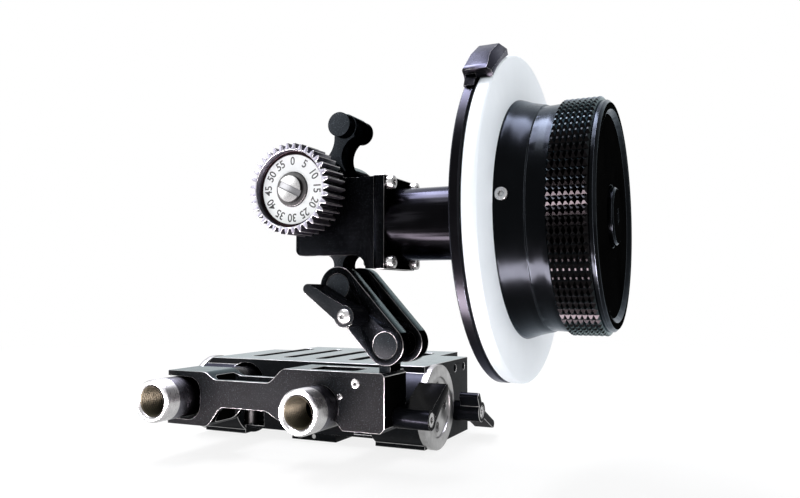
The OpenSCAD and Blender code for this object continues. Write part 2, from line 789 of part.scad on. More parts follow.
// Neck of a lug in X and Z, narrowest at mid_z, open to the left by left_w and right by right_w
module neck_outline(z0, z1, mid_z, waist, left_w, right_w, sweep_r) {
    difference() {
        translate([lug_x - left_w, z0]) square([left_w + right_w, z1 - z0]);
        translate([lug_x - waist / 2 - sweep_r, mid_z]) circle(sweep_r);
        translate([lug_x + waist / 2 + sweep_r, mid_z]) circle(sweep_r);
    }
}
neck_depth = 8.8;
journal_hub_r = journal_r + 0.25;
lower_waist = 3.4;
lower_flare = 5.2;
// Neck of the upper lug, swept in from the left near its top and from the right near its foot
upper_left = top_journal_x - 4.1;
upper_right = top_journal_x - 1.35;
left_sweep_r = 8.5;
left_sweep_z = top_journal_z - 3.6;
right_sweep_r = 7;
right_sweep_z = top_journal_z - 10.4;
module upper_neck_outline() {
    foot_left = upper_left - 5;
    foot_right = top_journal_x + 0.2;
    head_right = top_journal_x + 3.5;
    difference() {
        union() {
            translate([foot_left, box_top - 1])
                square([foot_right - foot_left, left_sweep_z - box_top + 1]);
            translate([upper_right - 2, right_sweep_z])
                square([head_right - upper_right + 2, left_sweep_z - right_sweep_z]);
            translate([upper_left, left_sweep_z - 1])
                square([head_right - upper_left, top_journal_z - left_sweep_z + 1]);
        }
        translate([upper_left - left_sweep_r, left_sweep_z]) circle(left_sweep_r);
        translate([upper_right + right_sweep_r, right_sweep_z]) circle(right_sweep_r);
    }
}
module upper_lug() {
    color("#23272c") difference() {
        union() {
            bar_y(swing_y - top_journal_len / 2, swing_y + top_journal_len / 2, top_journal_x,
                top_journal_z, journal_r);
            bar_y(swing_y - neck_depth / 2, swing_y + neck_depth / 2, top_journal_x,
                top_journal_z, journal_hub_r);
            slab_y(swing_y - neck_depth / 2, swing_y + neck_depth / 2) upper_neck_outline();
        }
        bar_y(box_front - cut, box_back + cut, spindle_x, spindle_z, boss_r);
        block(spindle_x, box_right, box_front, box_back, spindle_z - cut, box_top);
    }
}
module lower_lug() {
    neck_mid = (box_bottom + upper_z + journal_r) / 2;
    color("#23272c") {
        bar_y(journal_front, journal_back, upper_x, upper_z, journal_r);
        slab_y(swing_y - neck_depth / 2, swing_y + neck_depth / 2) {
            neck_outline(upper_z, neck_mid + 0.5, neck_mid, lower_waist, 2.2,
                neck_shift + 2.5, 3.4);
            neck_outline(neck_mid - 0.5, box_bottom + underside_step, neck_mid, lower_waist,
                lower_flare, neck_shift + 2.5, 3.4);
        }
    }
}
cap_margin = 2;
module back_cap() {
    color("#141518") difference() {
        slab_y(box_back, cap_back) {
            translate([spindle_x, spindle_z]) circle(boss_r - 0.6);
            translate([spindle_x, wheel_z]) circle(5.5 + cap_margin);
            translate([spindle_x - 5.5 - cap_margin, wheel_z])
                square([11 + 2 * cap_margin, gear_centre]);
            translate([spindle_x + 7.6, wheel_z - 4.5]) circle(2.4);
        }
        bar_y(box_back - cut, box_back + spindle_bearing_t, spindle_x, spindle_z,
            spindle_bearing_r);
        bar_y(box_back - cut, box_back + counter_bearing_t, spindle_x, wheel_z,
            counter_bearing_r);
        for (p = cap_screw_at) {
            bar_y(box_back - cut, cap_back + cut, p[0], p[1], 0.85);
            bar_y(cap_back - 1.5, cap_back + cut, p[0], p[1], 1.7);
        }
    }
}
module back_cap_screws() {
    color("silver") for (p = cap_screw_at) {
        screw_y(cap_back - 1.5, 1, p[0], p[1], 1.6, 1.4, 0.78, 5.5, 0.8);
    }
}
spigot_outer_r = tube_r - 2.4;
tube_bore_r = tube_r - 4;
tube_seat = 8;
module tube() {
    color("#101013") difference() {
        union() {
            bar_x(cover_right, tube_right, wheel_y, wheel_z, tube_r);
            bar_x(box_right, cover_right, wheel_y, wheel_z, spigot_outer_r);
            bar_x(tube_right, index_right, wheel_y, wheel_z, index_bore_r);
        }
        bar_x(box_right + 1.2, tube_right - tube_seat, wheel_y, wheel_z, tube_bore_r);
        bar_x(box_right - cut, index_right + cut, wheel_y, wheel_z, wheel_bearing_r);
    }
}
collar_t = 1;
module tube_collar() {
    color("slategray") difference() {
        bar_x(tube_right - collar_t - 0.6, tube_right - 0.6, wheel_y, wheel_z, tube_r + 0.4);
        bar_x(tube_right - 3, tube_right, wheel_y, wheel_z, tube_r);
    }
}
module race(r_out, r_in) {
    difference() {
        circle(r_out);
        circle(r_in);
    }
}
module wheel_bearings() {
    inner_x = box_right - wheel_bearing_t - 1;
    outer_x = tube_right - tube_seat;
    color("lightsteelblue") for (x = [inner_x, outer_x]) difference() {
        bar_x(x, x + wheel_bearing_t, wheel_y, wheel_z, wheel_bearing_r);
        bar_x(x - cut, x + wheel_bearing_t + cut, wheel_y, wheel_z, shaft_r + fit);
    }
}
module spindle_bearings() {
    color("lightsteelblue") for (y = [box_front + 0.3, box_back]) {
        slab_y(y, y + spindle_bearing_t) translate([spindle_x, spindle_z])
            race(spindle_bearing_r, spindle_d / 2 + fit);
    }
}
module counter_bearings() {
    color("lightsteelblue") for (y = [cavity_front - counter_bearing_t, box_back]) {
        slab_y(y, y + counter_bearing_t) translate([spindle_x, wheel_z])
            race(counter_bearing_r, counter_d / 2 + fit);
    }
}

// Gear train: the handwheel's bevel gear drives the counter shaft at its front side
bevel_taper = (bevel_r - bevel_face) / bevel_r;
module bevel_gear(bore_r) {
    difference() {
        union() {
            translate([0, 0, bevel_r - bevel_face]) mirror([0, 0, 1])
                translate([0, 0, -bevel_face])
                    linear_extrude(bevel_face, scale = bevel_taper)
                        gear_outline(bevel_teeth, inner_module, backlash + 0.08, 0.7, 1.3);
            translate([0, 0, bevel_r])
                cylinder(h = bevel_hub, r = bevel_r - 1.4 * inner_module);
        }
        translate([0, 0, -cut]) cylinder(h = bevel_r + 4, r = bore_r);
    }
}
half_pitch = 180 / bevel_teeth;
module wheel_bevel_gear() {
    color("silver") translate([spindle_x, wheel_y, wheel_z]) rotate([90, 0, 0])
        rotate([0, 90, 0]) rotate([0, 0, half_pitch]) bevel_gear(shaft_r - 1.5);
}
module counter_bevel_gear() {
    color("silver") translate([spindle_x, wheel_y, wheel_z]) rotate([90, 0, 0])
        bevel_gear(counter_d / 2);
}
module wheel_shaft() {
    neck = shaft_r - 1.5;
    bevel_back = spindle_x + bevel_r + bevel_hub;
    color("silver") {
        bar_x(spindle_x + bevel_r - bevel_face + 0.2, bevel_back, wheel_y, wheel_z, neck);
        bar_x(bevel_back, knob_front - front_web - 1, wheel_y, wheel_z, shaft_r);
    }
}
module counter_shaft() {
    color("silver") bar_y(cavity_front - counter_bearing_t + 0.1,
        box_back + counter_bearing_t - 0.1, spindle_x, wheel_z, counter_d / 2);
}
module counter_spur_gear() {
    color("silver") slab_y(spur_front, spur_back) translate([spindle_x, wheel_z])
        difference() {
            rotate(90) gear_outline(counter_teeth, inner_module, backlash);
            circle(counter_d / 2);
        }
}
pinion_phase = -90 + 180 / pinion_teeth;
module spindle_pinion() {
    color("silver") slab_y(spur_front + 0.2, spur_back - 0.2)
        translate([spindle_x, spindle_z]) difference() {
            rotate(pinion_phase) gear_outline(pinion_teeth, inner_module, backlash);
            circle(spindle_d / 2);
        }
}
hub_face = drive_front + label_recess_depth;
module spindle() {
    color("silver") difference() {
        bar_y(hub_face - 0.4, box_back + spindle_bearing_t - 0.1, spindle_x, spindle_z,
            spindle_d / 2);
        bar_y(hub_face - cut, hub_face + 6, spindle_x, spindle_z, 1.5);
    }
}
washer_r = 5.6;
collar_r = 4.2;
module drive_gear() {
    collar_back = box_front - 0.2;
    color("silver") difference() {
        union() {
            slab_y(drive_front, drive_back) translate([spindle_x, spindle_z])
                gear_outline(drive_teeth, drive_module, 0.15, 1, 1.25);
            bar_y(drive_front + 1, collar_back, spindle_x, spindle_z, collar_r);
        }
        bar_y(drive_front - cut, hub_face, spindle_x, spindle_z, label_recess_r);
        bar_y(drive_front, box_front, spindle_x, spindle_z, spindle_d / 2);
        slab_y(drive_back - 3, drive_back + cut) translate([spindle_x, spindle_z])
            race(label_recess_r - 1, collar_r);
    }
}
module gear_label() {
    color("white") slab_y(hub_face - label_t, hub_face) translate([spindle_x, spindle_z])
        race(label_recess_r - label_margin, washer_r + 0.2);
}
module gear_washer() {
    color("#222222") slab_y(hub_face - 1.2, hub_face) translate([spindle_x, spindle_z])
        race(washer_r, spindle_d / 2);
}
screw_head_r = 4.2;
slot_gap = 2.2;
module gear_screw() {
    head_back = hub_face - 1.2;
    color("silver") difference() {
        union() {
            bar_y(head_back - 1.4, head_back, spindle_x, spindle_z, screw_head_r);
            bar_y(head_back, hub_face + 5, spindle_x, spindle_z, 1.45);
        }
        translate([spindle_x, head_back - 1.4, spindle_z]) rotate([0, 25, 0])
            cube([3 * screw_head_r, 1.4, slot_gap], center = true);
    }
}

// Handwheel
disc_bore_r = spigot_r + 6;
module marking_disc() {
    bevel = 0.6;
    color("white") turned_x() polygon([[disc_bore_r, disc_left], [disc_r - bevel, disc_left],
        [disc_r, disc_left + bevel], [disc_r, disc_right - bevel],
        [disc_r - bevel, disc_right], [disc_bore_r, disc_right]]);
}
set_screw_at = [for (k = [0:2]) -156 + 120 * k];
set_screw_x = disc_right + 2.2;
set_screw_r = 1.45;
set_screw_head_r = 1.8;
set_screw_head_t = 1.4;
set_screw_seat = neck_r - 1.7;
set_screw_end = neck_r - 5;
module knob_hub() {
    plate_right = disc_right + 3.2;
    band_x = disc_right + neck_w * 0.6;
    grip_seat_r = grip_r - knob_wall;
    waist_r = neck_r - 2.6;
    color("#0c0c0e") difference() {
        turned_x() polygon([[shaft_r, disc_left + 0.2], [disc_bore_r - 0.05, disc_left + 0.2],
            [disc_bore_r - 0.05, disc_right], [neck_r, disc_right],
            [neck_r - 0.3, disc_right + 1], [neck_r - 1.2, disc_right + 3.5],
            [waist_r + 0.4, band_x - 0.3], [waist_r, band_x],
            [waist_r, band_x + 2], [waist_r + 0.2, grip_left],
            [grip_seat_r, grip_left], [grip_seat_r, knob_front - front_web - 0.2],
            [grip_seat_r - 2, knob_front - front_web - 0.2], [grip_seat_r - 2, plate_right],
            [spigot_r, plate_right], [spigot_r, knob_front - front_web - 2],
            [shaft_r, knob_front - front_web - 2]]);
        for (a = set_screw_at) translate([set_screw_x, wheel_y, wheel_z]) rotate([a, 0, 0]) {
            bar_z(set_screw_end, neck_r + cut, 0, 0, set_screw_r + fit);
            bar_z(set_screw_seat, neck_r + cut, 0, 0, set_screw_head_r + fit);
        }
    }
}
module knob_set_screws() {
    color("silver") for (a = set_screw_at) translate([set_screw_x, wheel_y, wheel_z])
        rotate([a, 0, 0]) difference() {
            union() {
                bar_z(set_screw_end + 0.1, set_screw_seat + set_screw_head_t, 0, 0, set_screw_r);
                bar_z(set_screw_seat + 0.05, set_screw_seat + set_screw_head_t, 0, 0,
                    set_screw_head_r);
            }
            translate([0, 0, set_screw_seat + 0.6]) cylinder(h = 2, r = 0.9, $fn = 6);
        }
}
module knurled_grip() {
    column = grip_w / knurl_columns;
    groove = 0.7;
    color("#111113") turned_x() polygon(concat(
        [[grip_r - knob_wall, grip_left]],
        [for (i = [0:knurl_columns - 1]) each [[grip_r - groove, grip_left + i * column],
            [grip_r, grip_left + (i + 0.5) * column]]],
        [[grip_r - groove, grip_right], [grip_r - knob_wall, grip_right]]));
}
module front_cover() {
    lip_r = grip_r - 1.2;
    face_r = grip_r - 4;
    dish = 1.2;
    color("#08080a") turned_x() polygon([
        [0, knob_front - front_web - 0.6], [centre_recess_r, knob_front - front_web - 0.6],
        [centre_recess_r + 0.6, knob_front - dish], [face_r - dish, knob_front - dish],
        [face_r, knob_front], [lip_r - 0.8, knob_front], [lip_r, knob_front - 0.8],
        [lip_r, grip_right], [grip_r - knob_wall, grip_right],
        [grip_r - knob_wall, knob_front - front_web],
        [centre_recess_r + 2, knob_front - front_web],
        [centre_recess_r, knob_front - front_web - 1], [0, knob_front - front_web - 1]]);
}
// Round cap screwed into the middle of the cover, a little proud of it
module centre_screw() {
    back = knob_front - front_web - 0.6;
    cap_front = knob_front + 0.45;
    cap_r = centre_recess_r - 0.1;
    cap_bevel = 0.5;
    color("#141416") difference() {
        turned_x() polygon([[0, back], [cap_r, back], [cap_r, cap_front - cap_bevel],
            [cap_r - cap_bevel, cap_front], [0, cap_front]]);
        translate([cap_front - 1.5, wheel_y, wheel_z]) rotate([0, 90, 0])
            cylinder(h = 3, r = 2.3, $fn = 6);
    }
}

// Index ring with its pointer, which overhangs the marking disc
pointer_screw_r = 0.8;
pointer_screw_x = index_right - 1.2;
pointer_screw_end = disc_r - 3;
module index_ring() {
    bevel = 0.4;
    color("#0b0b0d") difference() {
        turned_x() polygon([[index_bore_r + fit, index_left], [disc_r - bevel, index_left],
            [disc_r, index_left + bevel], [disc_r, index_right - bevel],
            [disc_r - bevel, index_right], [index_bore_r + fit, index_right]]);
        translate([pointer_screw_x, wheel_y, wheel_z]) rotate([pointer_screw_angle, 0, 0])
            bar_z(pointer_screw_end, disc_r + cut, 0, 0, pointer_screw_r + fit);
    }
}
module index_pointer() {
    lift = disc_r + gap;
    left = index_left - 0.6;
    right = disc_right;
    top = lift + 4;
    end_z = lift + 1;
    end_slope_w = 3.25;
    color("#0b0b0d") translate([0, wheel_y, wheel_z]) rotate([pointer_angle, 0, 0])
        difference() {
            union() {
                slab_x(left, right) polygon([[-9, lift - 1.8], [-8.9, lift + 0.6],
                    [-9.5, lift + 2.1], [-6.6, lift + 2.4], [0.8, lift + 3.3],
                    [9.3, lift + 3], [9, lift - 1.8]]);
                // Foot along the ring
                slab_x(index_left, index_right) polygon([[-8, lift - 2.2], [-8, lift + 1],
                    [-8.95, lift + 0.6], [-12.3, lift - 1.35], [-12.3, lift - 2.2]]);
            }
            slab_y(-10, 10) polygon([[right - end_slope_w, top], [right, end_z],
                [right + cut, end_z], [right + cut, top]]);
            bar_x(left - cut, index_right, 0, 0, disc_r, $fn = 360);
            bar_x(index_right - cut, right + cut, 0, 0, lift, $fn = 360);
        }
}
module pointer_screw() {
    color("#303034") translate([pointer_screw_x, wheel_y, wheel_z])
        rotate([pointer_screw_angle, 0, 0]) difference() {
            bar_z(pointer_screw_end + 0.1, disc_r - 0.4, 0, 0, pointer_screw_r);
            translate([0, 0, disc_r - 1.2]) cylinder(h = 2, r = 0.45, $fn = 6);
        }
}

base_plate();
sole_plate();
sole_screws();
rod_left();
rod_right();
rosettes();
rosette_screws();
jack_screws();
base_lever_right();
base_lever_left();
base_lever_screws_right();
base_lever_screws_left();
bridge_body();
bridge_shoe();
bridge_pins();
swivel_post();
post_screws();
bridge_lever();
bridge_lever_screw();
link_front_plate();
link_back_plate();
link_sleeve();
link_lever();
link_lever_screw();
gearbox_housing();
flange_cover();
cover_screws();
upper_lug();
lower_lug();
back_cap();
back_cap_screws();
tube();
tube_collar();
wheel_bearings();
spindle_bearings();
counter_bearings();
wheel_shaft();
wheel_bevel_gear();
counter_shaft();
counter_bevel_gear();
counter_spur_gear();
spindle();
spindle_pinion();
drive_gear();
gear_label();
gear_washer();
gear_screw();
marking_disc();
knob_hub();
knurled_grip();
front_cover();
knob_set_screws();
centre_screw();
index_ring();
index_pointer();
pointer_screw();
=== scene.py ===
import json
import math

import bpy
from mathutils import Matrix, Vector


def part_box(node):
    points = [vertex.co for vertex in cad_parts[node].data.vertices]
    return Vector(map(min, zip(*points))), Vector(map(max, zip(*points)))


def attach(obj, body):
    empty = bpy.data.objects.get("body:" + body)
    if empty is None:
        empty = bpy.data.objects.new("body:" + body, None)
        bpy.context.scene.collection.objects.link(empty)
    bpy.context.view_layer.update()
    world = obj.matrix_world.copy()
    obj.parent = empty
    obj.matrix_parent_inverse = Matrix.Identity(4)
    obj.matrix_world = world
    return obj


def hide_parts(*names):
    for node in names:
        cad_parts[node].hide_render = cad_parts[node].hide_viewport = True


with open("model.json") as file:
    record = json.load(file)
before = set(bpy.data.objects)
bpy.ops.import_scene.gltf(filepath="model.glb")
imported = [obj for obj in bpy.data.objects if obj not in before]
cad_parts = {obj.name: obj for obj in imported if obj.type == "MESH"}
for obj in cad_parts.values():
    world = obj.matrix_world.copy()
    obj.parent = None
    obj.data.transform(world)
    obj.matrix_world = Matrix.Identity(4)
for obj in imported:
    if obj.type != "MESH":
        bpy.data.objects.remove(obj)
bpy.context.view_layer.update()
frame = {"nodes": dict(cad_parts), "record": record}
nodes = frame["nodes"]
MM = 0.001

# Photograph
IMAGE_WIDTH = 800
FOCAL_PX = 745.0
SENSOR_MM = 36.0
CAMERA_MM = (158.8, -291.9, 59.7)
CAMERA_HEADING = math.radians(24.75)
CAMERA_PITCH = math.radians(3.3)
NEAREST = 0.01
FARTHEST = 20


# Camera
def make_camera():
    bpy.context.scene.view_settings.view_transform = "Standard"
    data = bpy.data.cameras.new("camera")
    data.sensor_width = SENSOR_MM
    data.lens = SENSOR_MM * FOCAL_PX / IMAGE_WIDTH
    data.clip_start = NEAREST
    data.clip_end = FARTHEST
    camera = bpy.data.objects.new("camera", data)
    bpy.context.scene.collection.objects.link(camera)
    level = math.cos(CAMERA_PITCH)
    forward = Vector((-math.sin(CAMERA_HEADING) * level, math.cos(CAMERA_HEADING) * level,
                      math.sin(CAMERA_PITCH)))
    camera.location = Vector(CAMERA_MM) * MM
    camera.rotation_euler = forward.to_track_quat("-Z", "Y").to_euler()
    bpy.context.scene.camera = camera


# Material helpers
def new_material(name):
    material = bpy.data.materials.new(name)
    material.use_nodes = True
    tree = material.node_tree
    return material, tree, tree.nodes["Principled BSDF"]


# Each value is for the node's input of that name, or else for its property
def add(tree, kind, **values):
    node = tree.nodes.new(kind)
    for key, value in values.items():
        if key in node.inputs:
            node.inputs[key].default_value = value
        else:
            setattr(node, key, value)
    return node


# A socket gets another node's output, or a plain value
def feed(tree, value, socket):
    if isinstance(value, bpy.types.NodeSocket):
        tree.links.new(value, socket)
    else:
        socket.default_value = value


# The piece's own coordinates, which are the frame's while it rests
def place(tree):
    return add(tree, "ShaderNodeTexCoord").outputs["Object"]


def grey(value, tint=(1.0, 1.0, 1.0)):
    return (value * tint[0], value * tint[1], value * tint[2], 1.0)


# A pattern is its cells per metre, its detail and its roughness
def noise(tree, coords, pattern):
    scale, detail, roughness = pattern
    node = add(tree, "ShaderNodeTexNoise", Scale=scale, Detail=detail, Roughness=roughness)
    tree.links.new(coords, node.inputs["Vector"])
    return node.outputs["Fac"]


def ramp(tree, value, low, high, limits=(0.0, 1.0)):
    node = add(tree, "ShaderNodeValToRGB")
    for element, position, color in zip(node.color_ramp.elements, limits, (low, high)):
        element.position = position
        element.color = color
    tree.links.new(value, node.inputs["Fac"])
    return node.outputs["Color"]


def span(tree, value, low, high, start=0.0, end=1.0):
    node = add(tree, "ShaderNodeMapRange")
    node.inputs["From Min"].default_value = start
    node.inputs["From Max"].default_value = end
    node.inputs["To Min"].default_value = low
    node.inputs["To Max"].default_value = high
    tree.links.new(value, node.inputs["Value"])
    return node.outputs["Result"]


def bump(tree, height, strength, distance):
    node = add(tree, "ShaderNodeBump", Strength=strength, Distance=distance)
    tree.links.new(height, node.inputs["Height"])
    return node.outputs["Normal"]


# The Mix node has sockets of the same names for other kinds of data, so these are by number
MIX_FACTOR = 0
MIX_FIRST = 6
MIX_SECOND = 7
MIX_RESULT = 2


def blend_colors(tree, first, second, mode, factor=1.0):
    mixed = add(tree, "ShaderNodeMix", data_type="RGBA", blend_type=mode)
    feed(tree, factor, mixed.inputs[MIX_FACTOR])
    feed(tree, first, mixed.inputs[MIX_FIRST])
    feed(tree, second, mixed.inputs[MIX_SECOND])
    return mixed.outputs[MIX_RESULT]


def vector_math(tree, operation, first, second=(0, 0, 0)):
    node = add(tree, "ShaderNodeVectorMath", operation=operation)
    feed(tree, first, node.inputs[0])
    feed(tree, second, node.inputs[1])
    return node


CREVICE_SAMPLES = 8
CREVICE_LIMITS = (0.25, 0.85)
CREVICE_SHADE = 0.12


# Painted shade: darkens a colour where other surfaces are close, in hollows and gaps
def painted_crevice_shade(tree, color, distance):
    occlusion = add(tree, "ShaderNodeAmbientOcclusion", samples=CREVICE_SAMPLES,
                    Distance=distance)
    shade = ramp(tree, occlusion.outputs["AO"], grey(CREVICE_SHADE), grey(1.0), CREVICE_LIMITS)
    return blend_colors(tree, color, shade, "MULTIPLY")


# Another colour inside a radius around an axis along Y, given by its X and Z
def color_inside(tree, where, color, axis, radius, inner_color):
    flat = vector_math(tree, "MULTIPLY", where, (1, 0, 1))
    away = vector_math(tree, "SUBTRACT", flat.outputs[0], (axis[0], 0, axis[1]))
    length = vector_math(tree, "LENGTH", away.outputs[0])
    inside = add(tree, "ShaderNodeMath", operation="LESS_THAN")
    tree.links.new(length.outputs["Value"], inside.inputs[0])
    inside.inputs[1].default_value = radius
    return blend_colors(tree, color, inner_color, "MIX", inside.outputs[0])


# Another colour from a place on Y on, reached over a length
def color_behind(tree, where, color, start, length, far_color):
    parts = add(tree, "ShaderNodeSeparateXYZ")
    tree.links.new(where, parts.inputs[0])
    share = span(tree, parts.outputs["Y"], 0.0, 1.0, start, start + length)
    return blend_colors(tree, color, far_color, "MIX", share)


# Noise patterns: cells per metre, detail, roughness
CLOUDS = (45, 4, 0.6)
BLASTED = (2600, 2, 0.6)
SPECKS = (3400, 1, 0.5)
RUBBED = (320, 3, 0.6)
STAINS = (160, 4, 0.65)
STREAKS = (1.0, 3, 0.6)
MOULD_CLOUDS = (60, 4, 0.6)
ORANGE_PEEL = (1400, 2, 0.5)
PAPER = (40, 3, 0.5)

# Where a pattern starts and ends its change of colour
CLOUD_LIMITS = (0.3, 0.75)
SPECK_LIMITS = (0.62, 0.8)
STAIN_LIMITS = (0.3, 0.7)

BLASTED_HEIGHT = 0.04 * MM
STREAK_HEIGHT = 0.05 * MM
PEEL_HEIGHT = 0.03 * MM
MATTE_GLOSS = 0.03
ROUGHNESS_SPREAD = 0.05


# Black anodised aluminium: a blasted grain with light specks, faint clouds, and a dark or
# tinted gloss at glancing angles. metal 0 is a matte skin with a little gloss.
def anodised(name, body, tint, glance, rough, grain, specks=0.0, metal=1.0):
    material, tree, shader = new_material(name)
    where = place(tree)
    dark, light = body
    cloudy = ramp(tree, noise(tree, where, CLOUDS), grey(dark, tint), grey(light, tint),
                  CLOUD_LIMITS)
    glint = ramp(tree, noise(tree, where, SPECKS), grey(0.0), grey(specks, tint), SPECK_LIMITS)
    color = blend_colors(tree, cloudy, glint, "ADD")
    tree.links.new(color, shader.inputs["Base Color"])
    rubbed = noise(tree, where, RUBBED)
    tree.links.new(span(tree, rubbed, *rough), shader.inputs["Roughness"])
    blasted = noise(tree, where, BLASTED)
    tree.links.new(bump(tree, blasted, grain, BLASTED_HEIGHT), shader.inputs["Normal"])
    shader.inputs["Metallic"].default_value = metal
    shader.inputs["Specular IOR Level"].default_value = MATTE_GLOSS
    shader.inputs["Specular Tint"].default_value = (*glance, 1.0)
    return material


# Streaks per metre along X, Y and Z
ALL_WAYS = (900, 900, 900)
COARSE = (700, 700, 700)
ALONG_TEETH = (1200, 300, 1200)
ROUND_ROD = (300, 2400, 300)


# Turned or milled metal: streaks along the cut, light stains, and painted shade where other
# surfaces are close. inner is an axis, a radius and a colour, and each step of fade a place on
# Y, a length and a colour.
def machined(name, body, tint, rough, streaks=ALL_WAYS, strength=0.2, reach=0.8 * MM,
             inner=None, fade=()):
    material, tree, shader = new_material(name)
    where = place(tree)
    dark, light = body
    color = ramp(tree, noise(tree, where, STAINS), grey(dark, tint), grey(light, tint),
                 STAIN_LIMITS)
    if inner:
        color = color_inside(tree, where, color, *inner)
    for step in fade:
        color = color_behind(tree, where, color, *step)
    tree.links.new(painted_crevice_shade(tree, color, reach), shader.inputs["Base Color"])
    stretched = add(tree, "ShaderNodeMapping", Scale=streaks)
    tree.links.new(where, stretched.inputs["Vector"])
    lines = noise(tree, stretched.outputs["Vector"], STREAKS)
    tree.links.new(span(tree, lines, *rough), shader.inputs["Roughness"])
    tree.links.new(bump(tree, lines, strength, STREAK_HEIGHT), shader.inputs["Normal"])
    shader.inputs["Metallic"].default_value = 1.0
    return material


# Plastic, paint or film with a faint orange peel
def plastic(name, body, tint, rough, grain, gloss=0.5):
    material, tree, shader = new_material(name)
    where = place(tree)
    dark, light = body
    color = ramp(tree, noise(tree, where, MOULD_CLOUDS), grey(dark, tint), grey(light, tint),
                 STAIN_LIMITS)
    tree.links.new(color, shader.inputs["Base Color"])
    peel = noise(tree, where, ORANGE_PEEL)
    roughness = span(tree, peel, rough - ROUGHNESS_SPREAD, rough + ROUGHNESS_SPREAD)
    tree.links.new(roughness, shader.inputs["Roughness"])
    tree.links.new(bump(tree, peel, grain, PEEL_HEIGHT), shader.inputs["Normal"])
    shader.inputs["Specular IOR Level"].default_value = gloss
    return material


# Tints of a surface
NEUTRAL = (1.0, 1.0, 1.0)
LAVENDER = (0.98, 0.96, 1.15)
SLATE = (0.86, 0.98, 1.15)
NAVY = (0.9, 0.95, 1.2)
WARM = (1.1, 1.0, 1.05)
COOL = (0.94, 0.98, 1.03)
OILY = (1.15, 1.05, 0.75)
BRASSY = (1.1, 0.85, 0.5)

# Tints of the gloss at glancing angles
DARK_GLANCE = (0.05, 0.055, 0.06)
TEAL_GLANCE = (0.8, 0.92, 0.95)
VIOLET_GLANCE = (0.71, 0.72, 0.8)
PALE_GLANCE = (0.77, 0.82, 0.88)
SKY_GLANCE = (0.86, 0.97, 1.0)

# Black skins, by the reflectance that their clouds run between
black_bridge = anodised("black_bridge", body=(0.006, 0.015), tint=SLATE, glance=NEUTRAL,
                        rough=(0.4, 0.5), grain=0.35, specks=0.1, metal=0.0)
black_plate = anodised("black_plate", body=(0.001, 0.003), tint=SLATE, glance=DARK_GLANCE,
                       rough=(0.3, 0.42), grain=0.3, specks=0.04)
black_base = anodised("black_base", body=(0.005, 0.012), tint=SLATE, glance=NEUTRAL,
                      rough=(0.4, 0.5), grain=0.3, specks=0.04, metal=0.0)
# A glossier, lighter copy for the drums beside the base: a painted highlight
black_drum_highlight = anodised("black_drum_highlight", body=(0.008, 0.016), tint=NAVY, glance=VIOLET_GLANCE,
                      rough=(0.36, 0.46), grain=0.2, specks=0.02)
black_lever = anodised("black_lever", body=(0.006, 0.011), tint=NAVY, glance=DARK_GLANCE,
                       rough=(0.22, 0.3), grain=0.2, specks=0.02, metal=0.5)
black_lug = anodised("black_lug", body=(0.004, 0.008), tint=SLATE, glance=DARK_GLANCE,
                     rough=(0.22, 0.3), grain=0.3, specks=0.05)
black_tube = anodised("black_tube", body=(0.002, 0.004), tint=LAVENDER, glance=VIOLET_GLANCE,
                      rough=(0.18, 0.24), grain=0.05)
black_ring = anodised("black_ring", body=(0.004, 0.007), tint=LAVENDER, glance=VIOLET_GLANCE,
                      rough=(0.2, 0.28), grain=0.06)
black_knob = anodised("black_knob", body=(0.003, 0.005), tint=SLATE, glance=PALE_GLANCE,
                      rough=(0.18, 0.24), grain=0.05)
black_stud = anodised("black_stud", body=(0.004, 0.006), tint=WARM, glance=TEAL_GLANCE,
                      rough=(0.16, 0.22), grain=0.05)
# A black copy without gloss: painted shade where faces look along the knob's axis and inside
# the cover's rim
black_painted_shade = plastic("black_painted_shade", body=(0.001, 0.002), tint=NEUTRAL, rough=0.35, grain=0.05,
                      gloss=0.0)

# Lit copies of the skins, painted light where they look up or to the front; painted rim
# highlight
bridge_top = anodised("bridge_top", body=(0.02, 0.04), tint=SLATE, glance=SKY_GLANCE,
                      rough=(0.2, 0.3), grain=0.2, specks=0.04)
plate_top_lit = anodised("plate_top_lit", body=(0.008, 0.016), tint=SLATE, glance=TEAL_GLANCE,
                     rough=(0.24, 0.3), grain=0.2, specks=0.02)
base_top = anodised("base_top", body=(0.04, 0.12), tint=SLATE, glance=SKY_GLANCE,
                    rough=(0.12, 0.22), grain=0.15, specks=0.02)
slate_front_lit = anodised("slate_front_lit", body=(0.025, 0.05), tint=SLATE, glance=NEUTRAL,
                       rough=(0.4, 0.5), grain=0.35, specks=0.12, metal=0.0)
lever_front_lit = anodised("lever_front_lit", body=(0.014, 0.026), tint=SLATE, glance=NEUTRAL,
                       rough=(0.4, 0.5), grain=0.3, specks=0.05, metal=0.0)
painted_rim_highlight = anodised("painted_rim_highlight", body=(0.05, 0.12), tint=SLATE, glance=SKY_GLANCE,
                     rough=(0.2, 0.3), grain=0.05)

# The drive gear, lit and shaded by facing as painted light: a pale front, flanks in painted
# shade, bright edges as a painted highlight, and a brown ring of painted shade around its
# label
RECESS_RADIUS = 12.52 * MM
RECESS_PAINTED_SHADE = (0.02, 0.012, 0.014, 1)
gear_low, gear_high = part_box("drive_gear")
gear_axis = ((gear_low.x + gear_high.x) / 2, (gear_low.z + gear_high.z) / 2)
gear_recess_shade = (gear_axis, RECESS_RADIUS, RECESS_PAINTED_SHADE)
gear_silver = machined("gear_silver", body=(0.2, 0.32), tint=LAVENDER, rough=(0.26, 0.4),
                       streaks=ALONG_TEETH, strength=0.3, reach=1.6 * MM, inner=gear_recess_shade)
gear_flank_shade = machined("gear_flank_shade", body=(0.04, 0.11), tint=LAVENDER, rough=(0.28, 0.4),
                      streaks=ALONG_TEETH, strength=0.3, reach=1.2 * MM)
gear_edge_highlight = machined("gear_edge_highlight", body=(0.4, 0.55), tint=NEUTRAL, rough=(0.25, 0.4),
                     reach=0.3 * MM, inner=gear_recess_shade)

